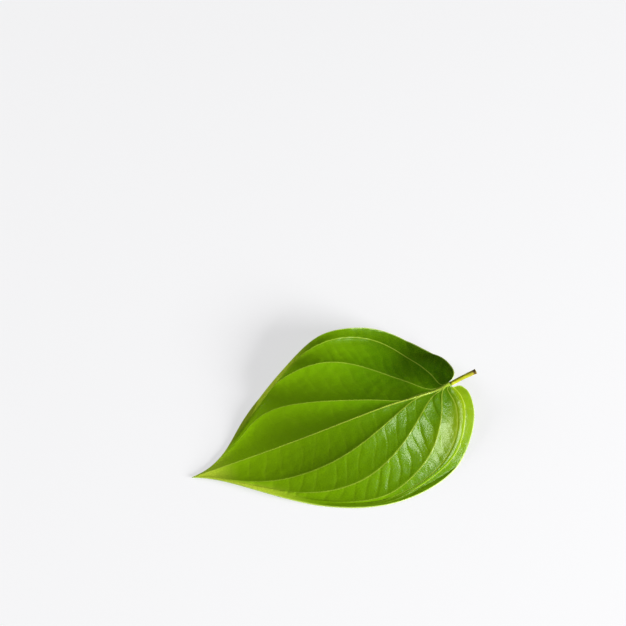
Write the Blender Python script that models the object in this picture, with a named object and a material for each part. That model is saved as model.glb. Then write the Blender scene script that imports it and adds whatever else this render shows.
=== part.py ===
"""A fresh betel leaf, picked and lying face up on a flat surface.

The leaf is one grown piece: a heart-shaped blade, the veins that run through it from the base
to the pointed tip, and the short cut petiole. It is built as one closed skin. Its upper and
lower sheets are lofted through the midrib, the curved veins and the two margins, all of which
start on the ring where the petiole joins the blade and meet again at the tip.

Places are in millimetres. A place in the plan is (along, across): along runs from the point
where the veins part to the tip, and across is positive on the side of the raised margin.
"""
import math

import bmesh
import bpy
import numpy as np

METRES = 0.001

# Driving sizes
TIP = (119.0, 0.0)
TIP_HEIGHT = 0.5
BLADE_THICKNESS = 0.6
RIM_BULGE = 0.15
JOIN = (-4.5, 0.65)
JOIN_HEIGHT = 8.9
JOIN_RADIUS = 1.0
RING_SIDE_GAP = math.radians(8.0)

# Petiole: (along, across, height, radius) from the join to the cut end
PETIOLE = [
    (-4.5, 0.65, 8.9, 1.00),
    (-9.0, 1.0, 9.9, 0.98),
    (-13.2, 1.2, 10.8, 1.04),
    (-17.8, 1.3, 11.6, 1.20),
]
PETIOLE_RINGS = 12
CUT_BEVEL = 0.25

# Midrib: (along, across, height)
MIDRIB = [
    (0.0, 0.0, 8.6),
    (20.0, -0.9, 9.8),
    (45.0, -2.1, 9.6),
    (80.0, -1.4, 4.8),
]

# Margins: (along, across, height). Below zero a margin presses on the surface and lies flat.
NEAR_MARGIN = [
    (-5.2, -1.0, 8.3),
    (-7.6, -0.7, 7.6),
    (-9.8, -0.8, 6.9),
    (-11.6, -3.2, 6.2),
    (-12.0, -7.0, 5.3),
    (-10.1, -14.5, 4.0),
    (-4.9, -23.3, 2.3),
    (5.6, -34.2, 0.4),
    (19.0, -41.0, -0.7),
    (39.0, -43.8, -1.0),
    (60.5, -39.1, -0.6),
    (83.0, -26.5, 1.0),
    (101.0, -12.3, 1.7),
    (112.0, -3.8, 1.0),
]
FAR_MARGIN = [
    (-5.2, 2.4, 8.4),
    (-7.2, 3.7, 7.8),
    (-10.0, 6.8, 7.0),
    (-11.4, 12.5, 5.2),
    (-10.6, 22.3, 1.6),
    (-6.3, 30.0, -0.9),
    (0.2, 38.8, 0.6),
    (12.6, 46.8, 5.2),
    (27.0, 49.4, 8.6),
    (40.8, 49.3, 8.6),
    (57.7, 42.2, 5.2),
    (75.2, 32.0, 0.6),
    (90.4, 19.2, -0.8),
    (101.0, 8.3, 0.2),
    (111.0, 1.9, 0.4),
]

# Veins, numbered outward from the midrib on each side: the route as (along, across), the share of
# the way at which the vein has faded, and how far out it lies between midrib and margin from there
NEAR_VEINS = [
    ([(0.0, -0.35), (10.0, -1.1), (16.7, -2.9), (35.0, -11.1), (56.5, -17.4), (75.0, -17.9), (92.0, -14.2)],
     0.90, 0.72),
    ([(0.0, -0.7), (5.1, -2.6), (11.4, -7.3), (23.1, -17.1), (36.0, -25.2), (52.0, -30.1), (74.0, -27.0),
      (95.0, -15.0)], 0.72, 0.84),
    ([(-0.6, -1.0), (3.5, -8.6), (8.7, -17.7), (18.4, -28.6), (34.0, -37.2), (49.0, -39.3), (75.0, -30.0),
      (96.0, -14.8)], 0.58, 0.91),
    ([(-2.5, -1.5), (-2.9, -6.6), (-1.5, -14.6), (4.1, -24.5), (17.4, -35.1), (37.8, -40.6), (60.0, -37.4),
      (96.0, -15.3)], 0.50, 0.945),
    ([(-5.6, -1.6), (-7.0, -4.3), (-7.0, -10.3), (-3.3, -18.8), (3.7, -28.2), (14.1, -35.3), (38.3, -41.9),
      (60.3, -38.2), (96.0, -15.8)], 0.48, 0.975),
]
FAR_VEINS = [
    ([(0.0, 0.4), (12.0, 0.0), (20.0, -0.4), (29.0, 3.0), (45.7, 9.6), (62.5, 16.0), (76.0, 18.9),
      (86.7, 15.8), (101.0, 5.6)], 0.84, 0.74),
    ([(0.0, 0.75), (5.2, 1.6), (11.7, 8.3), (25.4, 23.0), (41.5, 32.4), (60.7, 33.8), (77.0, 27.8),
      (93.0, 14.4)], 0.66, 0.87),
    ([(-1.0, 1.9), (0.2, 8.0), (2.2, 18.0), (6.5, 31.1), (17.4, 41.6), (36.5, 44.9), (57.0, 40.4),
      (80.0, 27.0)], 0.58, 0.93),
]
FADE_LENGTH = 0.22

# Relief: how the blade falls from the midrib to each margin, as a power of the way out, how far the
# tissue swells between two veins, or sags below zero, as a share of the strip's width for the strips
# from the near margin to the far one, and how deep the ribs stand out below
NEAR_FALL = 1.4
FAR_FALL = 1.7
SWELL_SHARES = [-0.01, 0.06, -0.05, -0.06, -0.055, -0.075, -0.09, -0.09, -0.07, -0.03]
SWELL_LIMIT = 1.2
RIB_SIDE = 1.2
MIDRIB_DEPTH = 1.0
VEIN_DEPTH = 0.5
RIB_FADE = 1.3
JOIN_FADE = 7.0

# Mesh
BASE_ROWS = 9
BASE_SHARE = 0.07
BODY_ROWS = 32
TIP_ROWS = 5
TIP_SHARE = 0.93
NARROW_STRIP = 1.1
MEDIUM_STRIP = 3.0
CURVE_SAMPLES = 600
MIDDLE_PLACE = 0.5
SIDE_PLACES = (0.2, 0.8)
SIDE_LIMIT = 0.25
SMALL = 1e-6


class Curve:
    """A smooth curve through points, read by its share of length from 0 to 1."""

    def __init__(self, points):
        points = np.array(points, float)
        steps = np.linalg.norm(np.diff(points[:, :2], axis=0), axis=1) ** 0.5
        knots = np.concatenate([[0.0], np.cumsum(steps)])
        fine = np.linspace(0.0, knots[-1], CURVE_SAMPLES)
        self.points = natural_cubic(knots, points, fine)
        lengths = np.linalg.norm(np.diff(self.points[:, :2], axis=0), axis=1)
        share = np.concatenate([[0.0], np.cumsum(lengths)])
        self.share = share / share[-1]

    def at(self, share):
        return np.array([np.interp(share, self.share, column) for column in self.points.T])


def natural_cubic(knots, values, fine):
    """Values of the natural cubic spline through (knots, values) at the fine parameters."""
    count = len(knots)
    gaps = np.diff(knots)
    slopes = np.diff(values, axis=0) / gaps[:, None]
    matrix = np.eye(count)
    right = np.zeros_like(values)
    for i in range(1, count - 1):
        matrix[i, i - 1:i + 2] = gaps[i - 1], 2.0 * (gaps[i - 1] + gaps[i]), gaps[i]
        right[i] = 6.0 * (slopes[i] - slopes[i - 1])
    bend = np.linalg.solve(matrix, right)
    place = np.clip(np.searchsorted(knots, fine, side="right") - 1, 0, count - 2)
    gap = gaps[place][:, None]
    before = (knots[place + 1] - fine)[:, None]
    after = (fine - knots[place])[:, None]
    return ((bend[place] * before ** 3 + bend[place + 1] * after ** 3) / (6.0 * gap)
            + (values[place] / gap - bend[place] * gap / 6.0) * before
            + (values[place + 1] / gap - bend[place + 1] * gap / 6.0) * after)


def ring_angles(count):
    """Angles from straight up at which the key curves leave the join, near side first."""
    reach = math.pi / 2.0 - RING_SIDE_GAP
    return np.linspace(-reach, reach, count)


def join_side(angle):
    """The plan place on the join's ring at an angle from straight up."""
    return (JOIN[0], JOIN[1] + JOIN_RADIUS * math.sin(angle))


def key_curves():
    """The margins, veins and midrib, from the near margin to the far one."""
    routes = [[point[:2] for point in NEAR_MARGIN]]
    routes += [route for route, _, _ in reversed(NEAR_VEINS)]
    routes += [[point[:2] for point in MIDRIB]]
    routes += [route for route, _, _ in FAR_VEINS]
    routes += [[point[:2] for point in FAR_MARGIN]]
    return [Curve([join_side(angle)] + route + [TIP])
            for angle, route in zip(ring_angles(len(routes)), routes)]


def height_curve(points):
    """The height along the midrib or a margin, from the join to the tip."""
    start = (JOIN[0], JOIN[1], JOIN_HEIGHT)
    return Curve([start] + list(points) + [(TIP[0], TIP[1], TIP_HEIGHT)])


KEYS = key_curves()
MIDDLE = len(NEAR_VEINS) + 1
LAST = len(KEYS) - 1
ANGLES = ring_angles(len(KEYS))
HEIGHTS = [height_curve(points) for points in (NEAR_MARGIN, MIDRIB, FAR_MARGIN)]
FADES = ([None] + [(fade, out) for _, fade, out in reversed(NEAR_VEINS)] + [None]
         + [(fade, out) for _, fade, out in FAR_VEINS] + [None])


def smooth_step(value):
    value = np.clip(value, 0.0, 1.0)
    return value * value * (3.0 - 2.0 * value)


def key_places(share):
    """Plan places of the key curves at one share of the way to the tip, and each one's strength.

    A vein that has faded passes to a set share of the way from the midrib to the margin.
    """
    places = np.array([curve.at(share) for curve in KEYS])
    strength = np.ones(len(KEYS))
    for key, fade in enumerate(FADES):
        if fade:
            faded = float(smooth_step((share - fade[0]) / FADE_LENGTH + 0.5))
            edge = places[0] if key < MIDDLE else places[LAST]
            spread = places[MIDDLE] + (edge - places[MIDDLE]) * fade[1]
            places[key] += (spread - places[key]) * faded
            strength[key] = 1.0 - faded
    strength[[0, LAST]] = 0.0
    return places, strength


def rib_depths(strength, share):
    """How far the ribs stand out below the blade at each key curve."""
    depth = np.full(len(KEYS), VEIN_DEPTH)
    depth[MIDDLE] = MIDRIB_DEPTH
    start = float(smooth_step(share / BASE_SHARE))
    return depth * strength * (1.0 - share) ** RIB_FADE * start


def blade_row(share, columns):
    """Upper and lower skin points of one row of the blade, at the given columns.

    A column is a key curve's number plus a place between it and the next one: 0.5 is halfway,
    and 0.2 and 0.8 lie a set distance from the vein beside them.
    """
    places, strength = key_places(share)
    columns = np.asarray(columns, float)
    key = np.minimum(columns.astype(int), LAST - 1)
    part = columns - key
    first, second = places[key], places[key + 1]
    width = np.linalg.norm(second - first, axis=1)
    side = np.minimum(SIDE_LIMIT, RIB_SIDE / np.maximum(width, RIB_SIDE))
    part = np.where(np.isclose(part, SIDE_PLACES[0]), side, part)
    part = np.where(np.isclose(part, SIDE_PLACES[1]), 1.0 - side, part)
    plan = first + (second - first) * part[:, None]
    middle = places[MIDDLE]
    near = columns < MIDDLE
    edge = np.where(near[:, None], places[0], places[LAST])
    near_height, middle_height, far_height = [curve.at(share)[2] for curve in HEIGHTS]
    edge_height = np.where(near, near_height, far_height)
    span = np.maximum(np.linalg.norm(edge - middle, axis=1), SMALL)
    reach = np.clip(np.linalg.norm(plan - middle, axis=1) / span, 0.0, 1.0)
    height = middle_height + (edge_height - middle_height) * reach ** np.where(near, NEAR_FALL, FAR_FALL)
    held = np.minimum(np.maximum(strength[key], strength[key + 1]), 1.0)
    swell = np.minimum(SWELL_LIMIT, np.array(SWELL_SHARES)[key] * width) * held
    height += swell * 4.0 * part * (1.0 - part)
    ribs = rib_depths(strength, share)
    above = np.full(len(columns), BLADE_THICKNESS / 2.0)
    below = above + np.where(part == 0.0, ribs[key], 0.0) + np.where(part == 1.0, ribs[key + 1], 0.0)
    return with_skins(share, columns, plan, height, above, below)


def with_skins(share, columns, plan, height, above, below):
    """Rounds the blade into the petiole near the join, and keeps it above the surface."""
    half_round = JOIN_RADIUS * np.cos(np.interp(columns, range(len(KEYS)), ANGLES))
    from_join = np.linalg.norm(plan - np.array(JOIN), axis=1)
    round_part = 1.0 - smooth_step((from_join - JOIN_RADIUS) / JOIN_FADE)
    above = above + np.maximum(0.0, half_round - above) * round_part ** 2
    below = below + np.maximum(0.0, half_round - below) * round_part
    if share == 0.0:
        height, above, below = np.full(len(columns), JOIN_HEIGHT), half_round, half_round
    lift = np.maximum(0.0, below - height)
    tops = np.column_stack([plan, height + above + lift])
    bottoms = np.column_stack([plan, height - below + lift])
    return tops, bottoms


def row_shares():
    """Shares of the way from the join to the tip at which the rows of points lie."""
    base = [BASE_SHARE * (i / BASE_ROWS) ** 1.6 for i in range(BASE_ROWS)]
    body = list(np.linspace(BASE_SHARE, TIP_SHARE, BODY_ROWS))
    tip = [TIP_SHARE + (1.0 - TIP_SHARE) * i / (TIP_ROWS + 1.0) for i in range(1, TIP_ROWS + 1)]
    return base + body + tip


def row_columns(share):
    """Columns of one row: the key curves, and points between them where the strip is wide."""
    places, _ = key_places(share)
    widths = np.linalg.norm(np.diff(places, axis=0), axis=1)
    columns = []
    for key, width in enumerate(widths):
        columns.append(float(key))
        if width > MEDIUM_STRIP:
            columns += [key + SIDE_PLACES[0], key + MIDDLE_PLACE, key + SIDE_PLACES[1]]
        elif width > NARROW_STRIP:
            columns.append(key + MIDDLE_PLACE)
    return columns + [float(LAST)]


def stitch(first, second):
    """Triangles between two rows of (column, vertex), which may have different columns."""
    faces = []
    i = j = 0
    while i < len(first) - 1 or j < len(second) - 1:
        next_first = first[i + 1][0] if i < len(first) - 1 else math.inf
        next_second = second[j + 1][0] if j < len(second) - 1 else math.inf
        if next_first == next_second:
            faces.append((first[i][1], first[i + 1][1], second[j][1]))
            faces.append((first[i + 1][1], second[j + 1][1], second[j][1]))
            i += 1
            j += 1
        elif next_first < next_second:
            faces.append((first[i][1], first[i + 1][1], second[j][1]))
            i += 1
        else:
            faces.append((first[i][1], second[j + 1][1], second[j][1]))
            j += 1
    return faces


def rim_point(top, bottom, inner_top):
    """The outermost point of the margin, halfway down its edge."""
    outward = top[:2] - inner_top[:2]
    outward = outward / max(np.linalg.norm(outward), SMALL)
    plan = top[:2] + outward * RIM_BULGE
    return (plan[0], plan[1], (top[2] + bottom[2]) / 2.0)


class Skin:
    """Vertices and faces of the leaf while it is put together."""

    def __init__(self):
        self.points = []
        self.faces = []

    def add(self, point):
        self.points.append(tuple(float(value) for value in point))
        return len(self.points) - 1

    def strip(self, first, second):
        self.faces += stitch(list(enumerate(first)), list(enumerate(second)))


def add_blade(skin):
    """Adds both sheets and the rims. Returns the ring of vertices at the join."""
    before = None
    ring = None
    for share in row_shares():
        columns = row_columns(share)
        upper, lower = blade_row(share, columns)
        tops = [(column, skin.add(point)) for column, point in zip(columns, upper)]
        bottoms = [(column, skin.add(point)) for column, point in zip(columns, lower)]
        if share == 0.0:
            near = skin.add((JOIN[0], JOIN[1] - JOIN_RADIUS, JOIN_HEIGHT))
            far = skin.add((JOIN[0], JOIN[1] + JOIN_RADIUS, JOIN_HEIGHT))
            ring = [v for _, v in tops] + [far] + [v for _, v in reversed(bottoms)] + [near]
        else:
            near = skin.add(rim_point(upper[0], lower[0], upper[1]))
            far = skin.add(rim_point(upper[-1], lower[-1], upper[-2]))
        row = {
            "top": tops,
            "bottom": bottoms,
            "near": [bottoms[0][1], near, tops[0][1]],
            "far": [tops[-1][1], far, bottoms[-1][1]],
        }
        if before:
            skin.faces += stitch(before["top"], row["top"])
            skin.faces += [face[::-1] for face in stitch(before["bottom"], row["bottom"])]
            skin.strip(before["near"], row["near"])
            skin.strip(before["far"], row["far"])
        before = row
    close_tip(skin, before)
    return ring


def close_tip(skin, row):
    """Ends the blade in its point."""
    height = TIP_HEIGHT
    half = BLADE_THICKNESS / 2.0
    top = skin.add((TIP[0], TIP[1], height + half))
    bottom = skin.add((TIP[0], TIP[1], height - half))
    point = skin.add((TIP[0] + RIM_BULGE, TIP[1], height))
    for (_, first), (_, second) in zip(row["top"], row["top"][1:]):
        skin.faces.append((first, second, top))
    for (_, first), (_, second) in zip(row["bottom"], row["bottom"][1:]):
        skin.faces.append((second, first, bottom))
    skin.strip(row["near"], [bottom, point, top])
    skin.strip(row["far"], [top, point, bottom])


def add_petiole(skin, ring):
    """Adds the petiole from the join's ring of vertices to its cut end."""
    path = Curve([point[:2] + (point[2], point[3]) for point in PETIOLE])
    start = np.array([JOIN[0], JOIN[1], JOIN_HEIGHT])
    offsets = [(np.array(skin.points[v]) - start) / JOIN_RADIUS for v in ring]
    before = ring
    for i in range(1, PETIOLE_RINGS + 1):
        share = i / PETIOLE_RINGS
        here = path.at(share)
        tangent = path.at(min(1.0, share + 0.02)) - path.at(share - 0.02)
        slope = tangent[2] / tangent[0] * smooth_step(share * 3.0)
        row = []
        for offset in offsets:
            point = here[:3] + here[3] * offset
            point[0] -= here[3] * offset[2] * slope
            row.append(skin.add(point))
        join_rings(skin, before, row)
        before = row
    end = np.mean([skin.points[v] for v in before], axis=0)
    cap = []
    for v in before:
        inward = (end - np.array(skin.points[v])) * CUT_BEVEL
        cap.append(skin.add(np.array(skin.points[v]) + inward + np.array([-CUT_BEVEL, 0.0, 0.0])))
    join_rings(skin, before, cap)
    centre = skin.add(end + np.array([-CUT_BEVEL, 0.0, 0.0]))
    for i, v in enumerate(cap):
        skin.faces.append((cap[(i + 1) % len(cap)], v, centre))


def join_rings(skin, first, second):
    """Quads between two closed rings with the same number of vertices."""
    for i in range(len(first)):
        j = (i + 1) % len(first)
        skin.faces.append((first[j], first[i], second[i], second[j]))


def centred(points):
    """Turns plan places into x, y and z with the origin under the middle of the leaf's box."""
    placed = np.array([(-x, y, z) for x, y, z in points])
    low, high = placed.min(axis=0), placed.max(axis=0)
    shift = np.array([(low[0] + high[0]) / 2.0, (low[1] + high[1]) / 2.0, low[2]])
    return (placed - shift) * METRES


def leaf_material():
    material = bpy.data.materials.new("leaf_green")
    material.use_nodes = True
    shader = material.node_tree.nodes["Principled BSDF"]
    shader.inputs["Base Color"].default_value = (0.10, 0.26, 0.01, 1.0)
    shader.inputs["Roughness"].default_value = 0.35
    shader.inputs["Metallic"].default_value = 0.0
    return material


def make_leaf():
    skin = Skin()
    ring = add_blade(skin)
    add_petiole(skin, ring)
    mesh = bpy.data.meshes.new("betel_leaf")
    mesh.from_pydata([tuple(point) for point in centred(skin.points)], [], skin.faces)
    shape = bmesh.new()
    shape.from_mesh(mesh)
    bmesh.ops.triangulate(shape, faces=[face for face in shape.faces if len(face.verts) > 3])
    bmesh.ops.recalc_face_normals(shape, faces=shape.faces)
    shape.to_mesh(mesh)
    shape.free()
    mesh.materials.append(leaf_material())
    mesh.shade_smooth()
    leaf = bpy.data.objects.new("betel_leaf", mesh)
    bpy.context.scene.collection.objects.link(leaf)
    return leaf


def main():
    for old in list(bpy.data.objects):
        bpy.data.objects.remove(old, do_unlink=True)
    make_leaf()


main()
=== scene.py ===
import math

import bpy
import numpy as np
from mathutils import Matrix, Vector, noise


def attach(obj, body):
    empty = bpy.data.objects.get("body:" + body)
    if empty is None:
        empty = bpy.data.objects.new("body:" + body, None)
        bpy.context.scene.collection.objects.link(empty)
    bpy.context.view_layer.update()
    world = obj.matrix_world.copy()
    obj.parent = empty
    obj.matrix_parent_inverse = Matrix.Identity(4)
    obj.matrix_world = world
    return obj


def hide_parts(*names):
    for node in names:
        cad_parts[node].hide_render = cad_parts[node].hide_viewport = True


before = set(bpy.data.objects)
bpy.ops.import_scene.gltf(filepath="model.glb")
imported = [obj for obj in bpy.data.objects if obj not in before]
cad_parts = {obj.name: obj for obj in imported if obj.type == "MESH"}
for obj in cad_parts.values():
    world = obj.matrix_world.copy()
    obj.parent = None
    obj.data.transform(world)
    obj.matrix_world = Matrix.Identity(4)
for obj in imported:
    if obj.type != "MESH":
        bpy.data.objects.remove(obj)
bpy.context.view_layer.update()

METRES = 0.001

# Driving sizes, the same as the solid's except for the thickness
TIP = (119.0, 0.0)
TIP_HEIGHT = 0.5
JOIN = (-4.5, 0.65)
JOIN_HEIGHT = 8.9
JOIN_RADIUS = 1.0
RING_SIDE_GAP = math.radians(8.0)
SKIN_ABOVE = 0.18
SKIN_BELOW = 0.24
RIM_BULGE = 0.15

# Petiole: (along, across, height, radius) from the join to the cut end
PETIOLE = [
    (-4.5, 0.65, 8.9, 1.00),
    (-9.0, 1.0, 9.9, 0.98),
    (-13.2, 1.2, 10.8, 1.04),
    (-17.8, 1.3, 11.6, 1.20),
]

# Midrib and margins: (along, across, height)
MIDRIB = [
    (0.0, 0.0, 8.6),
    (20.0, -0.9, 9.8),
    (45.0, -2.1, 9.6),
    (80.0, -1.4, 4.8),
]
NEAR_MARGIN = [
    (-5.2, -1.0, 8.3),
    (-7.6, -0.7, 7.6),
    (-9.8, -0.8, 6.9),
    (-11.6, -3.2, 6.2),
    (-12.0, -7.0, 5.3),
    (-10.1, -14.5, 4.0),
    (-4.9, -23.3, 2.3),
    (5.6, -34.2, 0.4),
    (19.0, -41.0, -0.7),
    (39.0, -43.8, -1.0),
    (60.5, -39.1, -0.6),
    (83.0, -26.5, 1.0),
    (101.0, -12.3, 1.7),
    (112.0, -3.8, 1.0),
]
FAR_MARGIN = [
    (-5.2, 2.4, 8.4),
    (-7.2, 3.7, 7.8),
    (-10.0, 6.8, 7.0),
    (-11.4, 12.5, 5.2),
    (-10.6, 22.3, 1.6),
    (-6.3, 30.0, -0.9),
    (0.2, 38.8, 0.6),
    (12.6, 46.8, 5.2),
    (27.0, 49.4, 8.6),
    (40.8, 49.3, 8.6),
    (57.7, 42.2, 5.2),
    (75.2, 32.0, 0.6),
    (90.4, 19.2, -0.8),
    (101.0, 8.3, 0.2),
    (111.0, 1.9, 0.4),
]

# Veins, numbered outward from the midrib on each side: the route as (along, across), the share of
# the way at which the vein has faded, and how far out it lies between midrib and margin from there
NEAR_VEINS = [
    ([(0.0, -0.35), (10.0, -1.1), (16.7, -2.9), (35.0, -11.1), (56.5, -17.4), (75.0, -17.9), (92.0, -14.2)],
     0.90, 0.72),
    ([(0.0, -0.7), (5.1, -2.6), (11.4, -7.3), (23.1, -17.1), (36.0, -25.2), (52.0, -30.1), (74.0, -27.0),
      (95.0, -15.0)], 0.72, 0.84),
    ([(-0.6, -1.0), (3.5, -8.6), (8.7, -17.7), (18.4, -28.6), (34.0, -37.2), (49.0, -39.3), (75.0, -30.0),
      (96.0, -14.8)], 0.58, 0.91),
    ([(-2.5, -1.5), (-2.9, -6.6), (-1.5, -14.6), (4.1, -24.5), (17.4, -35.1), (37.8, -40.6), (60.0, -37.4),
      (96.0, -15.3)], 0.50, 0.945),
    ([(-5.6, -1.6), (-7.0, -4.3), (-7.0, -10.3), (-3.3, -18.8), (3.7, -28.2), (14.1, -35.3), (38.3, -41.9),
      (60.3, -38.2), (96.0, -15.8)], 0.48, 0.975),
]
FAR_VEINS = [
    ([(0.0, 0.4), (12.0, 0.0), (20.0, -0.4), (29.0, 3.0), (45.7, 9.6), (62.5, 16.0), (76.0, 18.9),
      (86.7, 15.8), (101.0, 5.6)], 0.84, 0.74),
    ([(0.0, 0.75), (5.2, 1.6), (11.7, 8.3), (25.4, 23.0), (41.5, 32.4), (60.7, 33.8), (77.0, 27.8),
      (93.0, 14.4)], 0.66, 0.87),
    ([(-1.0, 1.9), (0.2, 8.0), (2.2, 18.0), (6.5, 31.1), (17.4, 41.6), (36.5, 44.9), (57.0, 40.4),
      (80.0, 27.0)], 0.58, 0.93),
]
FADE_LENGTH = 0.22

# Relief of the blade: how far the tissue between two veins swells, or sags where the value is below zero,
# as a share of the strip's width. The strips run from the near margin to the far one. Then how the blade
# falls from the midrib to each margin, and the sizes of ribs, creases and ridges.
SWELL_SHARES = [-0.01, 0.06, -0.05, -0.06, -0.055, -0.075, -0.09, -0.09, -0.07, -0.03]
SWELL_LIMIT = 1.2
NEAR_FALL = 1.4
FAR_FALL = 1.7
SWELL_POWER = 0.85
MIDRIB_DEPTH = 1.0
VEIN_DEPTH = 0.5
RIB_WIDTH = 0.75
RIB_FADE = 1.3
JOIN_FADE = 7.0
BASE_SHARE = 0.07
GROOVE_DEPTH = 0.07
GROOVE_WIDTH = 0.45
RIDGE_HEIGHT = 0.22
RIDGE_WIDTH = 0.5
RIDGE_SHARE = 0.22

# Ladder veins and the puckers between them. Lists run over the strips from the near margin to the far one.
LADDER_SPACING = [6.0, 6.2, 8.0, 6.4, 7.2, 7.6, 8.0, 6.8, 5.6, 4.8]
LADDER_LEAN = [1.0, 1.0, 1.0, 1.0, 0.7, 0.2, 0.2, 0.5, 0.9, 1.0]
PUCKER_HEIGHT = [0.03, 0.04, 0.10, 0.24, 0.10, 0.02, 0.04, 0.06, 0.18, 0.12]
PUCKER_DOME = 0.35
CREASE_WIDTH = 0.95
LADDER_WIDTH = 0.45
LADDER_WOBBLE = 0.55
LADDER_DEPTH = 0.03
PUCKER_PEAK = 2.1
CELL_COUNT = 64
CELL_HEIGHTS = (0.45, 1.5)
OPEN_STRIP_MM = (1.5, 5.0)
STRIP_SHIFT = 0.37
DRIFT_SCALE = 0.09
DRIFT_LAYER = 3.0
LUMP_SCALE = 0.28
LUMP_LAYER = 9.0
LUMP_HEIGHT = 0.09
SEED = 5

# Mesh
BASE_ROWS = 36
BODY_ROWS = 270
TIP_ROWS = 26
TIP_SHARE = 0.93
TOP_SPACING = 0.5
BOTTOM_SPACING = 1.0
HIGHEST_LEVEL = 5
CLUSTER = 0.5
CURVE_SAMPLES = 900
RIM_ANGLES = (-0.9, 0.0, 0.9)
PETIOLE_RINGS = 70
CUT_RINGS = 7
CHANNEL_DEPTH = 0.10
CHANNEL_WIDTH = 0.55
STALK_RIDGES = 6.0
STALK_RIDGE_DEPTH = 0.025
DRY_SHRINK = 0.10
CUT_FLARE = 0.10
CUT_LIP = 0.12
CUT_SINK = 0.20
SMALL = 1e-6

# Traits where no vein or margin is near, and on the cut end of the petiole
NO_VEIN_MM = 5.0
CUT_TRAITS = {"stalk": 1.0, "dry": 1.0, "vein_mm": NO_VEIN_MM, "rim_mm": NO_VEIN_MM}


class Curve:
    """A smooth curve through points, read by its share of length from 0 to 1."""

    def __init__(self, points):
        points = np.array(points, float)
        steps = np.linalg.norm(np.diff(points[:, :2], axis=0), axis=1) ** 0.5
        knots = np.concatenate([[0.0], np.cumsum(steps)])
        fine = np.linspace(0.0, knots[-1], CURVE_SAMPLES)
        self.points = natural_cubic(knots, points, fine)
        lengths = np.linalg.norm(np.diff(self.points[:, :2], axis=0), axis=1)
        share = np.concatenate([[0.0], np.cumsum(lengths)])
        self.share = share / share[-1]

    def at(self, shares):
        return np.stack([np.interp(shares, self.share, column) for column in self.points.T], axis=-1)


def natural_cubic(knots, values, fine):
    """Values of the natural cubic spline through (knots, values) at the fine parameters."""
    count = len(knots)
    gaps = np.diff(knots)
    slopes = np.diff(values, axis=0) / gaps[:, None]
    matrix = np.eye(count)
    right = np.zeros_like(values)
    for i in range(1, count - 1):
        matrix[i, i - 1:i + 2] = gaps[i - 1], 2.0 * (gaps[i - 1] + gaps[i]), gaps[i]
        right[i] = 6.0 * (slopes[i] - slopes[i - 1])
    bend = np.linalg.solve(matrix, right)
    place = np.clip(np.searchsorted(knots, fine, side="right") - 1, 0, count - 2)
    gap = gaps[place][:, None]
    before = (knots[place + 1] - fine)[:, None]
    after = (fine - knots[place])[:, None]
    return ((bend[place] * before ** 3 + bend[place + 1] * after ** 3) / (6.0 * gap)
            + (values[place] / gap - bend[place] * gap / 6.0) * before
            + (values[place + 1] / gap - bend[place + 1] * gap / 6.0) * after)


def smooth_step(value, low=0.0, high=1.0):
    value = np.clip((value - low) / (high - low), 0.0, 1.0)
    return value * value * (3.0 - 2.0 * value)


def bell(value, width):
    return np.exp(-(value / width) ** 2)


def ring_angles(count):
    """Angles from straight up at which the key curves leave the join, near side first."""
    reach = math.pi / 2.0 - RING_SIDE_GAP
    return np.linspace(-reach, reach, count)


def key_curves():
    """The margins, veins and midrib, from the near margin to the far one."""
    routes = [[point[:2] for point in NEAR_MARGIN]]
    routes += [route for route, _, _ in reversed(NEAR_VEINS)]
    routes += [[point[:2] for point in MIDRIB]]
    routes += [route for route, _, _ in FAR_VEINS]
    routes += [[point[:2] for point in FAR_MARGIN]]
    curves = []
    for angle, route in zip(ring_angles(len(routes)), routes):
        start = (JOIN[0], JOIN[1] + JOIN_RADIUS * math.sin(angle))
        curves.append(Curve([start] + route + [TIP]))
    return curves


def row_shares():
    """Shares of the way from the join to the tip at which the rows of points lie."""
    base = [BASE_SHARE * (i / BASE_ROWS) ** 1.6 for i in range(BASE_ROWS)]
    body = list(np.linspace(BASE_SHARE, TIP_SHARE, BODY_ROWS))
    tip = [TIP_SHARE + (1.0 - TIP_SHARE) * i / (TIP_ROWS + 1.0) for i in range(1, TIP_ROWS + 1)]
    return np.array(base + body + tip)


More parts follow.
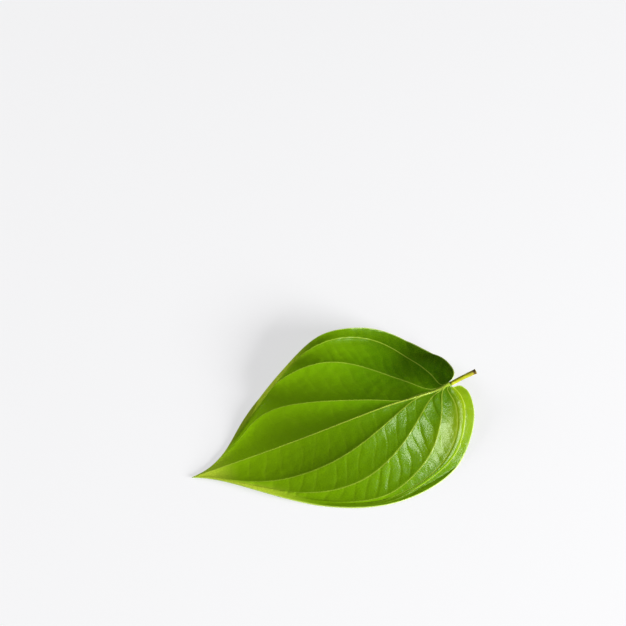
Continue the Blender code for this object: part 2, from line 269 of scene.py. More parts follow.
class Plan:
    """Where the key curves lie in every row, and how strong each vein is there."""

    def __init__(self):
        curves = key_curves()
        self.shares = row_shares()
        self.last = len(curves) - 1
        self.middle = len(NEAR_VEINS) + 1
        self.angles = ring_angles(len(curves))
        self.places = np.stack([curve.at(self.shares) for curve in curves], axis=1)
        self.strength = np.ones(self.places.shape[:2])
        self.fade_veins()
        self.strength[:, [0, self.last]] = 0.0
        self.widths = np.linalg.norm(np.diff(self.places, axis=1), axis=2)
        lines = (NEAR_MARGIN, MIDRIB, FAR_MARGIN)
        self.heights = np.stack([self.height(points) for points in lines], axis=1)
        between = (self.places[:, 1:] + self.places[:, :-1]) / 2.0
        steps = np.linalg.norm(np.diff(between, axis=0), axis=2)
        self.travel = np.concatenate([np.zeros((1, self.last)), np.cumsum(steps, axis=0)])

    def height(self, points):
        """Height along the midrib or a margin in every row."""
        start = (JOIN[0], JOIN[1], JOIN_HEIGHT)
        return Curve([start] + points + [(TIP[0], TIP[1], TIP_HEIGHT)]).at(self.shares)[:, 2]

    def fade_veins(self):
        """A vein that has faded passes to a set share of the way from the midrib to the margin."""
        fades = {self.middle - 1 - i: vein[1:] for i, vein in enumerate(NEAR_VEINS)}
        fades.update({self.middle + 1 + i: vein[1:] for i, vein in enumerate(FAR_VEINS)})
        midrib = self.places[:, self.middle]
        for key, (fade, out) in fades.items():
            faded = smooth_step((self.shares - fade) / FADE_LENGTH + 0.5)
            edge = self.places[:, 0 if key < self.middle else self.last]
            spread = midrib + (edge - midrib) * out
            self.places[:, key] += (spread - self.places[:, key]) * faded[:, None]
            self.strength[:, key] = 1.0 - faded

    def columns(self, row, spacing):
        """Columns of one row: the key curves, and each strip halved until its steps are short."""
        columns = []
        for key, width in enumerate(self.widths[row]):
            level = int(np.clip(round(math.log2(max(width / spacing, 1.0))), 0, HIGHEST_LEVEL))
            columns += [key + i / 2 ** level for i in range(2 ** level)]
        return columns + [float(self.last)]


class Skin:
    """Vertices and faces of the leaf while it is put together, with a value for each surface trait."""

    TRAITS = ("young", "pale", "deep", "tone", "vein_mm", "vein", "ladder", "rim_mm", "under", "stalk",
              "dry", "cut", "share")

    def __init__(self):
        self.points = []
        self.traits = {name: [] for name in self.TRAITS}
        self.faces = []

    def add(self, points, **traits):
        """Adds points, gives them their traits and returns their numbers."""
        first = len(self.points)
        self.points += [tuple(point) for point in points]
        for name, values in self.traits.items():
            values += list(np.broadcast_to(traits.get(name, 0.0), len(points)).astype(float))
        return list(range(first, len(self.points)))

    def strip(self, first, second):
        """Triangles between two lines of as many vertices."""
        self.faces += stitch(list(enumerate(first)), list(enumerate(second)))


def stitch(first, second):
    """Triangles between two rows of (column, vertex), which may have different columns."""
    faces = []
    i = j = 0
    while i < len(first) - 1 or j < len(second) - 1:
        next_first = first[i + 1][0] if i < len(first) - 1 else math.inf
        next_second = second[j + 1][0] if j < len(second) - 1 else math.inf
        if next_first == next_second:
            faces.append((first[i][1], first[i + 1][1], second[j][1]))
            faces.append((first[i + 1][1], second[j + 1][1], second[j][1]))
            i += 1
            j += 1
        elif next_first < next_second:
            faces.append((first[i][1], first[i + 1][1], second[j][1]))
            i += 1
        else:
            faces.append((first[i][1], second[j + 1][1], second[j][1]))
            j += 1
    return faces


def lumps(plan, scale, offset):
    """Smooth noise from about -1 to 1 at places in the plan."""
    return np.array([noise.noise(Vector((x * scale, y * scale, offset))) for x, y in plan])


class Sheet:
    """Traits and heights of the blade at places given as (row, column)."""

    def __init__(self, plan, rows, columns):
        self.plan = plan
        self.rows = np.asarray(rows)
        self.columns = np.asarray(columns, float)
        self.key = np.minimum(self.columns.astype(int), plan.last - 1)
        part = self.columns - self.key
        self.part = part - CLUSTER * np.sin(2.0 * math.pi * part) / (2.0 * math.pi)
        first = plan.places[self.rows, self.key]
        second = plan.places[self.rows, self.key + 1]
        self.places = first + (second - first) * self.part[:, None]
        self.width = plan.widths[self.rows, self.key]
        self.share = plan.shares[self.rows]
        self.near = self.columns < plan.middle
        middle = plan.places[self.rows, plan.middle]
        edge = np.where(self.near[:, None], plan.places[self.rows, 0], plan.places[self.rows, plan.last])
        self.span = np.maximum(np.linalg.norm(edge - middle, axis=1), SMALL)
        self.reach = np.clip(np.linalg.norm(self.places - middle, axis=1) / self.span, 0.0, 1.0)
        self.margin_mm = np.linalg.norm(edge - self.places, axis=1)
        self.find_veins()
        self.find_ladder()

    def find_veins(self):
        """Distance to the nearer of the two veins beside each place, and that vein's strength."""
        strength = self.plan.strength
        before, after = strength[self.rows, self.key], strength[self.rows, self.key + 1]
        self.held = np.maximum(before, after)
        to_before = self.part * self.width
        to_after = (1.0 - self.part) * self.width
        nearer_before = to_before < to_after
        self.vein_mm = np.where(nearer_before, to_before, to_after)
        self.vein = np.where(nearer_before, before, after)
        key = np.where(nearer_before, self.key, self.key + 1)
        self.is_midrib = key == self.plan.middle
        self.start = smooth_step(self.share / BASE_SHARE)
        fade = (1.0 - self.share) ** RIB_FADE * self.start
        self.rib = np.where(self.is_midrib, MIDRIB_DEPTH, VEIN_DEPTH) * self.vein * fade

    def find_ladder(self):
        """The cells between ladder veins: how close each place is to one, and its cell's pucker."""
        draws = np.random.default_rng(SEED).uniform(*CELL_HEIGHTS, (self.plan.last, CELL_COUNT))
        spacing = np.array(LADDER_SPACING)[self.key]
        outward = np.where(self.near, 1.0 - self.part, self.part) * self.width
        lean = np.array(LADDER_LEAN)[self.key] * outward
        drift = lumps(self.places, DRIFT_SCALE, DRIFT_LAYER)
        phase = (self.plan.travel[self.rows, self.key] - lean) / spacing
        phase += LADDER_WOBBLE * drift + self.key * STRIP_SHIFT
        cell = np.floor(phase).astype(int)
        place = phase - cell
        away = np.minimum(place, 1.0 - place) * spacing
        open_strip = smooth_step(self.width, *OPEN_STRIP_MM)
        across = np.sin(math.pi * np.clip(self.part, 0.0, 1.0))
        self.ladder = bell(away, LADDER_WIDTH) * open_strip * smooth_step(across, 0.0, 0.35)
        out = np.clip(np.where(self.near, 1.0 - self.part, self.part), 0.0, 1.0)
        envelope = PUCKER_PEAK * np.sqrt(out) * (1.0 - out) ** 1.2
        height = np.array(PUCKER_HEIGHT)[self.key] * draws[self.key, cell % CELL_COUNT]
        dome = PUCKER_DOME * np.sin(math.pi * place)
        dome = dome + (1.0 - PUCKER_DOME) * (1.0 - bell(away, CREASE_WIDTH))
        self.pucker = height * dome * envelope * open_strip

    def swell(self):
        """Height of the tissue that swells or sags between two veins."""
        bulge = np.minimum(SWELL_LIMIT, np.array(SWELL_SHARES)[self.key] * self.width) * self.held
        return bulge * (4.0 * self.part * (1.0 - self.part)) ** SWELL_POWER

    def centre_height(self):
        """Height of the middle of the blade, before the relief."""
        heights = self.plan.heights[self.rows]
        edge = np.where(self.near, heights[:, 0], heights[:, 2])
        fall = np.where(self.near, NEAR_FALL, FAR_FALL)
        return heights[:, 1] + (edge - heights[:, 1]) * self.reach ** fall

    def fine_relief(self):
        """What stands on the upper face only: creases, ridges near the base, ladder veins, lumps."""
        groove = -GROOVE_DEPTH * bell(self.vein_mm, GROOVE_WIDTH) * self.vein
        ridge_part = 1.0 - smooth_step(self.share / RIDGE_SHARE)
        ridge = RIDGE_HEIGHT * bell(self.vein_mm, RIDGE_WIDTH) * ridge_part * self.is_midrib
        ladder = -LADDER_DEPTH * self.ladder
        lump = LUMP_HEIGHT * lumps(self.places, LUMP_SCALE, LUMP_LAYER) * smooth_step(self.vein_mm, 0.0, 2.0)
        return (groove + ladder + lump) * self.start + ridge

    def skins(self, below):
        """Points of the upper skin, or of the lower one."""
        height = self.centre_height() + self.swell() + self.pucker * self.start
        angles = self.plan.angles
        half_round = JOIN_RADIUS * np.cos(np.interp(self.columns, range(len(angles)), angles))
        from_join = np.linalg.norm(self.places - np.array(JOIN), axis=1)
        round_part = 1.0 - smooth_step((from_join - JOIN_RADIUS) / JOIN_FADE)
        rib = self.rib * bell(self.vein_mm, RIB_WIDTH)
        under = SKIN_BELOW + rib
        under = under + np.maximum(0.0, half_round - under) * round_part
        over = SKIN_ABOVE + np.maximum(0.0, half_round - SKIN_ABOVE) * round_part ** 2
        first = self.rows == 0
        height = np.where(first, JOIN_HEIGHT, height)
        under = np.where(first, half_round, under)
        over = np.where(first, half_round, over + self.fine_relief())
        lift = np.maximum(0.0, under - height)
        place = height + lift - under if below else height + lift + over
        return np.column_stack([self.places, place])

    def traits(self, below):
        """Surface traits, by name."""
        near = self.near.astype(float)
        # Yellow-green by the near lobe's margin and towards the tip, partly the tissue's own colour and
        # partly painted light shining through the thin blade.
        lobe = near * smooth_step(self.reach, 0.80, 0.97) * (1.0 - smooth_step(self.share, 0.12, 0.30))
        tip_band = near * smooth_step(self.reach, 0.55, 0.95) * smooth_step(self.share, 0.66, 0.86)
        tip = smooth_step(self.share, 0.82, 0.98)
        young = np.maximum(np.maximum(0.12 * lobe, tip_band), tip * (0.7 + 0.3 * near))
        # Painted light on the far margin band, where the blade turns down away from the lamps.
        lit_far_band = (1.0 - near) * smooth_step(self.reach, 0.78, 0.97) * smooth_step(self.share, 0.45, 0.65)
        young = np.maximum(young, 0.65 * lit_far_band)
        # Painted light on the far outer band, where the rolled margin catches light.
        lit_outer_band = (1.0 - near) * smooth_step(self.reach, 0.84, 0.95) * smooth_step(self.share, 0.22, 0.40)
        # Painted shade: the far lobe is darkened towards the base, where it curves down away from the light.
        deep = (1.0 - near) * (1.0 - smooth_step(self.share, 0.02, 0.46))
        deep = deep * smooth_step(self.reach, -0.3, 0.6)
        deep = deep * (1.0 - 0.5 * lit_outer_band)
        # Lighter green on the near lobe, partly the tissue's own colour and partly painted sheen; on the far
        # outer band it is painted light.
        pale = near * smooth_step(self.reach, 0.45, 0.85) * (1.0 - smooth_step(self.share, 0.12, 0.32))
        pale = pale * (1.0 - 0.5 * smooth_step(self.reach, 0.84, 0.92))
        pale = np.maximum(pale, lit_outer_band * smooth_step(self.share, 0.45, 0.70) * 1.4)
        # Painted light and shade that even out the two halves: the far half is lightened, most towards the
        # tip, and darkened by its outer edge near the base; the near half is darkened, less towards the tip.
        far_painted_shading = 1.0 + 0.22 * smooth_step(self.share, 0.15, 0.40)
        far_painted_shading = far_painted_shading + 0.42 * smooth_step(self.share, 0.60, 0.85)
        far_edge_shade = 0.35 * smooth_step(self.reach, 0.70, 0.90)
        far_painted_shading = far_painted_shading * (1.0 - far_edge_shade * (1.0 - smooth_step(self.share, 0.3, 0.6)))
        tone = np.where(self.near, 0.80 + 0.30 * smooth_step(self.share, 0.6, 0.9), far_painted_shading)
        return {
            "young": young,
            "deep": deep,
            "pale": pale,
            "tone": tone,
            "vein_mm": self.vein_mm,
            "vein": self.vein * np.where(self.is_midrib, 1.0, 0.48),
            "ladder": self.ladder,
            "rim_mm": self.margin_mm,
            "under": np.full(len(self.rows), 1.0 if below else 0.0),
            "share": self.share,
        }


def add_sheet(skin, plan, spacing, below):
    """Adds one skin of the blade. Returns its rows as lists of (column, vertex)."""
    layout = [plan.columns(row, spacing) for row in range(len(plan.shares))]
    rows = np.concatenate([np.full(len(columns), row) for row, columns in enumerate(layout)])
    sheet = Sheet(plan, rows, np.concatenate(layout))
    vertices = iter(skin.add(sheet.skins(below), **sheet.traits(below)))
    return [[(column, next(vertices)) for column in columns] for columns in layout]


def rim_line(skin, top, bottom, inner, side_traits):
    """Vertices round the edge of the blade, from the upper skin to the lower one."""
    top_point, bottom_point, inner_point = (np.array(skin.points[v]) for v in (top, bottom, inner))
    outward = top_point[:2] - inner_point[:2]
    outward = outward / max(np.linalg.norm(outward), SMALL)
    middle = (top_point + bottom_point) / 2.0
    half = (top_point - bottom_point) / 2.0
    points = []
    for angle in reversed(RIM_ANGLES):
        point = middle + half * math.sin(angle)
        point[:2] += outward * RIM_BULGE * math.cos(angle)
        points.append(point)
    under = (1.0 - np.sin(np.array(RIM_ANGLES[::-1]))) / 2.0
    return [top] + skin.add(points, under=under, **side_traits) + [bottom]


def add_blade(skin):
    """Adds both skins and the rims. Returns the ring of vertices at the join."""
    plan = Plan()
    tops = add_sheet(skin, plan, TOP_SPACING, False)
    bottoms = add_sheet(skin, plan, BOTTOM_SPACING, True)
    before = None
    for row, (top, bottom) in enumerate(zip(tops, bottoms)):
        if row == 0:
            near = [top[0][1]] + ring_side(skin, -1.0) + [bottom[0][1]]
            far = [top[-1][1]] + ring_side(skin, 1.0) + [bottom[-1][1]]
            ring = [v for _, v in top] + far[1:-1] + [v for _, v in reversed(bottom)] + near[-2:0:-1]
        else:
            share = plan.shares[row]
            young = float(skin.traits["young"][top[0][1]])
            near = rim_line(skin, top[0][1], bottom[0][1], top[1][1], {"share": share, "young": young})
            far = rim_line(skin, top[-1][1], bottom[-1][1], top[-2][1], {"share": share})
        if before:
            skin.faces += stitch(before[0], top)
            skin.faces += [face[::-1] for face in stitch(before[1], bottom)]
            skin.strip(near, before[2])
            skin.strip(before[3], far)
        before = (top, bottom, near, far)
    close_tip(skin, before)
    return ring


def ring_side(skin, side):
    """Vertices on the side of the join's ring, from the upper skin to the lower one."""
    reach = RING_SIDE_GAP * 0.6
    points = []
    for angle in (reach, 0.0, -reach):
        across = JOIN[1] + side * JOIN_RADIUS * math.cos(angle)
        points.append((JOIN[0], across, JOIN_HEIGHT + JOIN_RADIUS * math.sin(angle)))
    return skin.add(points, under=(0.3, 0.5, 0.7))


def close_tip(skin, row):
    """Ends the blade in its point."""
    top_row, bottom_row, near, far = row
    heights = (SKIN_ABOVE, 0.1, 0.0, -0.1, -SKIN_BELOW)
    reaches = (0.0, 0.8, 1.0, 0.8, 0.0)
    points = [(TIP[0] + RIM_BULGE * out, TIP[1], TIP_HEIGHT + up) for up, out in zip(heights, reaches)]
    line = skin.add(points, young=1.0, share=1.0, vein_mm=1.0, under=(0.0, 0.2, 0.5, 0.8, 1.0))
    for (_, first), (_, second) in zip(top_row, top_row[1:]):
        skin.faces.append((first, second, line[0]))
    for (_, first), (_, second) in zip(bottom_row, bottom_row[1:]):
        skin.faces.append((second, first, line[-1]))
    skin.strip(line, near)
    skin.strip(far, line)


def add_petiole(skin, ring):
    """Adds the petiole from the join's ring of vertices to its cut end."""
    path = Curve(PETIOLE)
    start = np.array([JOIN[0], JOIN[1], JOIN_HEIGHT])
    offsets = (np.array([skin.points[v] for v in ring]) - start) / JOIN_RADIUS
    around = np.arctan2(offsets[:, 1], offsets[:, 2])
    before = ring
    for i in range(1, PETIOLE_RINGS + 1):
        share = i / PETIOLE_RINGS
        here = path.at(share)
        tangent = path.at(min(1.0, share + 0.02)) - path.at(share - 0.02)
        slope = tangent[2] / tangent[0] * smooth_step(share * 3.0)
        radius = here[3] * petiole_shape(share, around)
        points = here[:3] + offsets * radius[:, None]
        points[:, 0] -= radius * offsets[:, 2] * slope
        dry = smooth_step(share, 0.60, 1.0)
        under = 0.5 - 0.5 * np.cos(around)
        row = skin.add(points, stalk=share, dry=dry, under=under, vein_mm=NO_VEIN_MM, rim_mm=NO_VEIN_MM)
        join_rings(skin, before, row)
        before = row
    close_cut(skin, before)


def petiole_shape(share, around):
    """How the petiole departs from round: a shallow channel on top, ridges, and a shrunken end."""
    channel = CHANNEL_DEPTH * bell(around, CHANNEL_WIDTH) * smooth_step(share, 0.0, 0.3)
    ridges = STALK_RIDGE_DEPTH * np.cos(around * STALK_RIDGES + 1.3) * smooth_step(share, 0.0, 0.3)
    shrink = DRY_SHRINK * smooth_step(share, 0.80, 0.93) * (1.0 + 0.6 * np.cos(around * 3.0 + 0.4))
    flare = CUT_FLARE * smooth_step(share, 0.93, 1.0)
    return 1.0 - channel + ridges - shrink + flare


def close_cut(skin, before):
    """Closes the cut end with a slightly sunken face."""
    edge = np.array([skin.points[v] for v in before])
    end = edge.mean(axis=0)
    for i in range(1, CUT_RINGS + 1):
        inward = i / (CUT_RINGS + 1.0)
        points = edge + (end - edge) * inward
        lip = -CUT_LIP * math.sin(math.pi * min(1.0, inward * 3.0))
        points[:, 0] += lip + CUT_SINK * smooth_step(inward, 0.2, 1.0)
        row = skin.add(points, cut=smooth_step(inward, 0.0, 0.3), **CUT_TRAITS)
        join_rings(skin, before, row)
        before = row
    centre = skin.add([end + np.array([CUT_SINK, 0.0, 0.0])], cut=1.0, **CUT_TRAITS)[0]
    for i, v in enumerate(before):
        skin.faces.append((before[(i + 1) % len(before)], v, centre))


def join_rings(skin, first, second):
    """Triangles between two closed rings with the same number of vertices."""
    for i in range(len(first)):
        j = (i + 1) % len(first)
        skin.faces.append((first[j], first[i], second[i]))
        skin.faces.append((first[j], second[i], second[j]))


def centred(points):
    """Turns plan places into x, y and z with the origin under the middle of the leaf's box."""
    placed = np.array(points) * (-1.0, 1.0, 1.0)
    low, high = placed.min(axis=0), placed.max(axis=0)
    shift = np.array([(low[0] + high[0]) / 2.0, (low[1] + high[1]) / 2.0, low[2]])
    return (placed - shift) * METRES


class Nodes:
    """Short ways to add nodes to a material."""

    def __init__(self, name):
        self.material = bpy.data.materials.new(name)
        self.material.use_nodes = True
        self.tree = self.material.node_tree
        self.shader = self.tree.nodes["Principled BSDF"]

    def put(self, socket, value):
        if isinstance(value, bpy.types.NodeSocket):
            self.tree.links.new(value, socket)
        else:
            socket.default_value = value

    def trait(self, name):
        node = self.tree.nodes.new("ShaderNodeAttribute")
        node.attribute_name = name
        return node.outputs["Fac"]

    def math(self, operation, first, second=0.0, clamp=False):
        node = self.tree.nodes.new("ShaderNodeMath")
        node.operation = operation
        node.use_clamp = clamp
        self.put(node.inputs[0], first)
        self.put(node.inputs[1], second)
        return node.outputs[0]

    def span(self, value, low, high, first=0.0, last=1.0):
        """Maps low to high smoothly onto first to last."""
        node = self.tree.nodes.new("ShaderNodeMapRange")
        node.interpolation_type = "SMOOTHSTEP"
        for socket, number in zip(("Value", "From Min", "From Max", "To Min", "To Max"),
                                  (value, low, high, first, last)):
            self.put(node.inputs[socket], number)
        return node.outputs["Result"]

    def mix(self, factor, first, second, blend="MIX"):
        node = self.tree.nodes.new("ShaderNodeMix")
        node.data_type = "RGBA"
        node.blend_type = blend
        colours = [socket for socket in node.inputs if socket.type == "RGBA"]
        self.put(node.inputs["Factor"], factor)
        self.put(colours[0], first)
        self.put(colours[1], second)
        return next(socket for socket in node.outputs if socket.type == "RGBA")

    def noise(self, scale, detail=3.0, stretch=None):
        node = self.tree.nodes.new("ShaderNodeTexNoise")
        node.inputs["Scale"].default_value = scale
        node.inputs["Detail"].default_value = detail
        self.tree.links.new(self.position(stretch), node.inputs["Vector"])
        return node.outputs["Fac"]

    def net(self, scale):
        """Distance to the nearest wall of a net of small cells."""
        node = self.tree.nodes.new("ShaderNodeTexVoronoi")
        node.feature = "DISTANCE_TO_EDGE"
        node.inputs["Scale"].default_value = scale
        self.tree.links.new(self.position(None), node.inputs["Vector"])
        return node.outputs["Distance"]

    def position(self, stretch):
        node = self.tree.nodes.new("ShaderNodeTexCoord")
        if not stretch:
            return node.outputs["Object"]
        mapping = self.tree.nodes.new("ShaderNodeMapping")
        mapping.inputs["Scale"].default_value = stretch
        self.tree.links.new(node.outputs["Object"], mapping.inputs["Vector"])
        return mapping.outputs["Vector"]

    def bump(self, height, distance, strength, normal=None):
        node = self.tree.nodes.new("ShaderNodeBump")
        node.inputs["Distance"].default_value = distance
        node.inputs["Strength"].default_value = strength
        self.put(node.inputs["Height"], height)
        if normal:
            self.tree.links.new(normal, node.inputs["Normal"])
        return node.outputs["Normal"]


# Colours, as linear values
# The darkest green is painted shade for the far lobe.
SHADE_GREEN = (0.048, 0.158, 0.0003, 1.0)
MID_GREEN = (0.092, 0.235, 0.0005, 1.0)
LIGHT_GREEN = (0.170, 0.330, 0.0010, 1.0)
# The pale green is partly the tissue's own colour and partly painted light.
PALE_AND_LIT_GREEN = (0.330, 0.430, 0.0010, 1.0)
# The bright yellow-green is partly painted light where it marks the margins and the tip.
BRIGHT_YELLOW_GREEN = (0.550, 0.700, 0.0450, 1.0)
VEIN_GREEN = (0.520, 0.660, 0.0700, 1.0)
# The rim green is painted light along the margin.
RIM_LIGHT_GREEN = (0.450, 0.600, 0.0800, 1.0)
UNDER_GREEN = (0.250, 0.400, 0.0900, 1.0)
UNDER_VEIN = (0.470, 0.600, 0.2000, 1.0)
STALK_GREEN = (0.390, 0.410, 0.0180, 1.0)
STALK_SHADE = (0.250, 0.260, 0.0100, 1.0)
DRY_BROWN = (0.330, 0.230, 0.0450, 1.0)
RING_BROWN = (0.070, 0.035, 0.0120, 1.0)
CUT_TAN = (0.360, 0.270, 0.1300, 1.0)

# How much of each colour is mixed in where its trait is full
PATCH_SHARE = 0.18
PALE_AND_LIT_SHARE = 0.45
NET_SHARE = 0.30
LADDER_SHARE = 0.03
UNDER_PATCH_SHARE = 0.25
UNDER_NET_SHARE = 0.35
UNDER_LADDER_SHARE = 0.5

# Texture scales, in cells per metre
PATCH_SCALE = 80.0
UNDER_PATCH_SCALE = 60.0
NET_SCALE = 900.0
BLOTCH_SCALE = 900.0
STREAK_SCALE = 700.0
STREAK_STRETCH = (0.12, 1.0, 1.0)
UNEVEN_SCALE = 260.0
GRAIN_SCALE = 2600.0
GLOSS_SCALE = 300.0

# Roughness of the upper face, its spread, and what the underside and dry tissue add
LEAF_ROUGHNESS = 0.22
ROUGHNESS_SPREAD = 0.03
UNDER_ROUGHNESS = 0.22
DRY_ROUGHNESS = 0.25
SPECULAR_LEVEL = 0.5
SPECULAR_TINT = (0.97, 1.0, 0.86, 1.0)


def upper_colour(n):
    """Greens of the upper face: painted shade on the far lobe and painted light and shade that even out the
    two halves, lighter to the tip, yellow by the near margin partly painted light, and a painted highlight
    along the rim.
    """
    share = n.trait("share")
    along = n.span(share, 0.0, 0.95)
    patch = n.span(n.noise(PATCH_SCALE, 6.0), 0.35, 0.68)
    green = n.mix(along, MID_GREEN, LIGHT_GREEN)
    # Painted shade on the far lobe.
    green = n.mix(n.trait("deep"), green, SHADE_GREEN)
    green = n.mix(n.math("MULTIPLY", patch, PATCH_SHARE), green, LIGHT_GREEN)
    # Painted light and shade, multiplied in.
    green = n.mix(1.0, green, n.trait("tone"), "MULTIPLY")
    # Lighter green, partly painted sheen and light.
    green = n.mix(n.math("MULTIPLY", n.trait("pale"), PALE_AND_LIT_SHARE), green, PALE_AND_LIT_GREEN)
    # Yellow-green by the margins and the tip, partly painted light.
    green = n.mix(n.trait("young"), green, BRIGHT_YELLOW_GREEN)
    net = n.span(n.net(NET_SCALE), 0.0, 0.12, NET_SHARE, 0.0)
    green = n.mix(net, green, LIGHT_GREEN)
    green = n.mix(n.math("MULTIPLY", n.trait("ladder"), LADDER_SHARE), green, BRIGHT_YELLOW_GREEN)
    base_band = n.math("MULTIPLY", n.span(share, 0.04, 0.34, 0.75, 0.0), n.span(n.trait("vein"), 0.7, 0.95))
    line = n.span(n.trait("vein_mm"), 0.12, n.math("ADD", base_band, 0.42), 1.0, 0.0)
    strength = n.math("MULTIPLY", n.trait("vein"), n.span(share, 0.05, 0.85, 0.95, 0.45))
    green = n.mix(n.math("MULTIPLY", line, strength), green, VEIN_GREEN)
    # Painted light: a thin bright line along the margin, where it catches light.
    rim = n.span(n.trait("rim_mm"), 0.05, 0.7, 0.95, 0.0)
    return n.mix(rim, green, RIM_LIGHT_GREEN)


def under_colour(n):
    """The paler underside with its pale ribs."""
    patch = n.span(n.noise(UNDER_PATCH_SCALE, 4.0), 0.3, 0.7)
    green = n.mix(n.math("MULTIPLY", patch, UNDER_PATCH_SHARE), UNDER_GREEN, LIGHT_GREEN)
    net = n.span(n.net(NET_SCALE), 0.0, 0.12, UNDER_NET_SHARE, 0.0)
    green = n.mix(net, green, UNDER_VEIN)
    green = n.mix(n.math("MULTIPLY", n.trait("ladder"), UNDER_LADDER_SHARE), green, UNDER_VEIN)
    line = n.span(n.trait("vein_mm"), 0.35, 1.0, 1.0, 0.0)
    return n.mix(n.math("MULTIPLY", line, n.trait("vein")), green, UNDER_VEIN)


def stalk_colour(n):
    """The petiole: yellow-green with fine streaks, dry towards its end, and a dark ring before the cut."""
    streak = n.span(n.noise(STREAK_SCALE, 3.0, STREAK_STRETCH), 0.3, 0.7)
    green = n.mix(streak, STALK_GREEN, STALK_SHADE)
    blotch = n.span(n.noise(BLOTCH_SCALE, 4.0), 0.35, 0.65)
    dry = n.math("MULTIPLY", n.trait("dry"), n.span(blotch, 0.0, 1.0, 0.35, 0.9))
    green = n.mix(dry, green, DRY_BROWN)
    rise = n.span(n.trait("stalk"), 0.86, 0.94)
    ring = n.math("MULTIPLY", rise, n.span(n.trait("stalk"), 0.96, 1.0, 0.9, 0.2))
    green = n.mix(ring, green, RING_BROWN)
    return n.mix(n.trait("cut"), green, CUT_TAN)


def leaf_material():
    """Waxy leaf tissue for the blade and the petiole."""
    n = Nodes("leaf_tissue")
    blade = n.mix(n.trait("under"), upper_colour(n), under_colour(n))
    colour = n.mix(n.span(n.trait("stalk"), 0.0, 0.12), blade, stalk_colour(n))
    n.put(n.shader.inputs["Base Color"], colour)
    rough = n.span(n.noise(GLOSS_SCALE, 3.0), 0.3, 0.7, -ROUGHNESS_SPREAD, ROUGHNESS_SPREAD)
    rough = n.math("ADD", rough, LEAF_ROUGHNESS)
    rough = n.math("ADD", rough, n.math("MULTIPLY", n.trait("under"), UNDER_ROUGHNESS))
    rough = n.math("ADD", rough, n.math("MULTIPLY", n.trait("dry"), DRY_ROUGHNESS), clamp=True)
    n.put(n.shader.inputs["Roughness"], rough)
    uneven = n.bump(n.noise(UNEVEN_SCALE, 2.0), 0.0006, 0.20)
    fine = n.bump(n.net(NET_SCALE), 0.00012, 0.35, uneven)
    grain = n.bump(n.noise(GRAIN_SCALE, 2.0), 0.00003, 0.5, fine)
    n.tree.links.new(grain, n.shader.inputs["Normal"])
    n.shader.inputs["Specular IOR Level"].default_value = SPECULAR_LEVEL
    n.shader.inputs["Specular Tint"].default_value = SPECULAR_TINT
    n.shader.inputs["Metallic"].default_value = 0.0
    return n.material


def make_leaf():
    skin = Skin()
    ring = add_blade(skin)
    add_petiole(skin, ring)
    mesh = bpy.data.meshes.new("leaf_blade_and_petiole")
    mesh.from_pydata([tuple(point) for point in centred(skin.points)], [], skin.faces)
    for name, values in skin.traits.items():
        mesh.attributes.new(name, "FLOAT", "POINT").data.foreach_set("value", values)
    mesh.shade_smooth()
    mesh.materials.append(leaf_material())
    leaf = bpy.data.objects.new("leaf_blade_and_petiole", mesh)
    bpy.context.scene.collection.objects.link(leaf)
    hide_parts("betel_leaf")
    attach(leaf, "root")
    return leaf


# Camera, in the part's frame, in metres
CAMERA_PLACE = Vector((-0.1280, -0.3039, 0.4432))
CAMERA_TARGET = Vector((0.0157, 0.0684, 0.0))
CAMERA_LENS = 70.0
CAMERA_SENSOR = 36.0


def make_camera():
    data = bpy.data.cameras.new("camera")
    data.lens = CAMERA_LENS
    data.sensor_width = CAMERA_SENSOR
    data.clip_start = 0.01
    data.clip_end = 50.0
    camera = bpy.data.objects.new("camera", data)
    camera.location = CAMERA_PLACE
    camera.rotation_euler = (CAMERA_TARGET - CAMERA_PLACE).to_track_quat("-Z", "Y").to_euler()
    bpy.context.scene.collection.objects.link(camera)
    bpy.context.scene.camera = camera


FLOOR_SIDE = 12.0
FLOOR_WHITE = (0.44, 0.44, 0.445, 1.0)
FLOOR_GLOW = 1.24


def make_floor():
    half = FLOOR_SIDE / 2.0
    mesh = bpy.data.meshes.new("floor")
    mesh.from_pydata([(-half, -half, 0.0), (half, -half, 0.0), (half, half, 0.0), (-half, half, 0.0)], [],
                     [(0, 1, 2, 3)])
    n = Nodes("floor_white")
    n.put(n.shader.inputs["Base Color"], FLOOR_WHITE)
    n.put(n.shader.inputs["Roughness"], 0.9)
    n.put(n.shader.inputs["Emission Color"], FLOOR_WHITE)
    n.put(n.shader.inputs["Emission Strength"], FLOOR_GLOW)
    n.put(n.shader.inputs["Specular IOR Level"], 0.0)
    mesh.materials.append(n.material)
    floor = bpy.data.objects.new("floor", mesh)
    bpy.context.scene.collection.objects.link(floor)
    floor.visible_glossy = False


BACKDROP_RADIUS = 2.0
BACKDROP_HEIGHT = 4.0
BACKDROP_SIDES = 64
BACKDROP_WHITE = (1.0, 1.0, 1.0, 1.0)


def make_backdrop():
    """A pale round wall that only the camera sees, so that low views have a plain ground."""
    turns = [2.0 * math.pi * i / BACKDROP_SIDES for i in range(BACKDROP_SIDES)]
    points = [(BACKDROP_RADIUS * math.sin(turn), BACKDROP_RADIUS * math.cos(turn), height)
              for height in (0.0, BACKDROP_HEIGHT) for turn in turns]
    following = [(i + 1) % BACKDROP_SIDES for i in range(BACKDROP_SIDES)]
    faces = [(i, j, j + BACKDROP_SIDES, i + BACKDROP_SIDES) for i, j in enumerate(following)]
    mesh = bpy.data.meshes.new("backdrop")
    mesh.from_pydata(points, [], faces)
    n = Nodes("backdrop_white")
    n.put(n.shader.inputs["Base Color"], (0.0, 0.0, 0.0, 1.0))
    n.put(n.shader.inputs["Emission Color"], BACKDROP_WHITE)
    n.put(n.shader.inputs["Emission Strength"], 1.0)
    n.put(n.shader.inputs["Specular IOR Level"], 0.0)
    mesh.materials.append(n.material)
    backdrop = bpy.data.objects.new("backdrop", mesh)
    bpy.context.scene.collection.objects.link(backdrop)
    backdrop.visible_diffuse = False
    backdrop.visible_glossy = False
    backdrop.visible_shadow = False


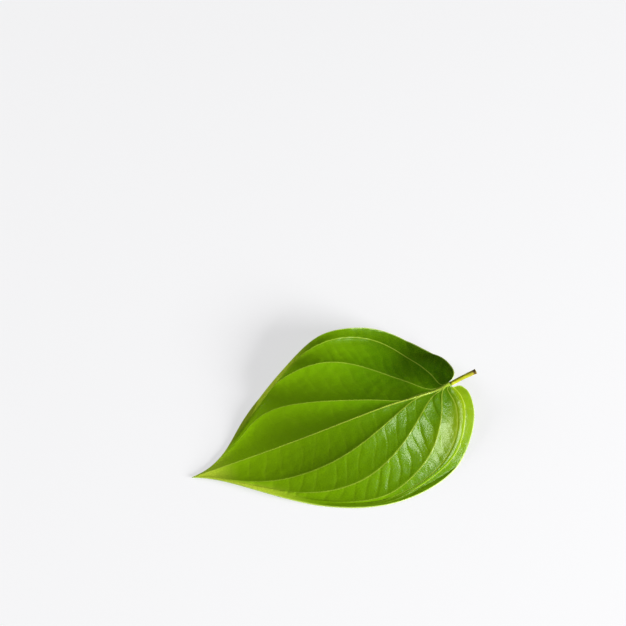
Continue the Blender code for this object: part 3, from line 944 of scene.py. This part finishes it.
# Soft lights that light surfaces but don't show in reflections: (name, azimuth from straight behind
# the leaf towards +X, elevation, distance, width, height, share of a white floor's brightness)
SOFT_LIGHTS = [
    ("window_front", 142.0, 12.5, 2.2, 2.00, 0.50, 0.64),
    ("softbox_behind", -45.0, 20.0, 2.2, 1.70, 0.90, 0.20),
]
# Softboxes that show as sheen only: (name, what they face, azimuth, elevation, distance, width, height,
# radiance)
SHEEN_LIGHTS = [
    ("softbox_above", (0.045, -0.038, 0.0), 91.0, 58.0, 0.6, 0.16, 0.16, 10.0),
]
WORLD_STRENGTH = 0.14


def add_light(name, target, azimuth, elevation, distance, width, height, power):
    data = bpy.data.lights.new(name, "AREA")
    data.shape = "RECTANGLE"
    data.size = width
    data.size_y = height
    data.energy = power
    turn, rise = math.radians(azimuth), math.radians(elevation)
    away = Vector((math.sin(turn) * math.cos(rise), math.cos(turn) * math.cos(rise), math.sin(rise)))
    light = bpy.data.objects.new(name, data)
    light.location = Vector(target) + away * distance
    light.rotation_euler = (-away).to_track_quat("-Z", "Y").to_euler()
    light.visible_camera = False
    bpy.context.scene.collection.objects.link(light)
    return light


def make_lights():
    for name, azimuth, elevation, distance, width, height, share in SOFT_LIGHTS:
        power = share * (math.pi * distance) ** 2 / math.sin(math.radians(elevation))
        light = add_light(name, (0.0, 0.0, 0.0), azimuth, elevation, distance, width, height, power)
        light.visible_glossy = False
    for name, target, azimuth, elevation, distance, width, height, radiance in SHEEN_LIGHTS:
        power = radiance * math.pi * width * height
        light = add_light(name, target, azimuth, elevation, distance, width, height, power)
        light.visible_diffuse = False


def make_world():
    world = bpy.data.worlds.new("studio")
    bpy.context.scene.world = world
    world.use_nodes = True
    background = world.node_tree.nodes["Background"]
    background.inputs["Color"].default_value = (1.0, 1.0, 1.0, 1.0)
    background.inputs["Strength"].default_value = WORLD_STRENGTH
    world.cycles_visibility.glossy = False


def set_view():
    settings = bpy.context.scene.view_settings
    settings.view_transform = "Standard"
    settings.look = "None"


make_camera()
make_leaf()
make_floor()
make_backdrop()
make_lights()
make_world()
set_view()
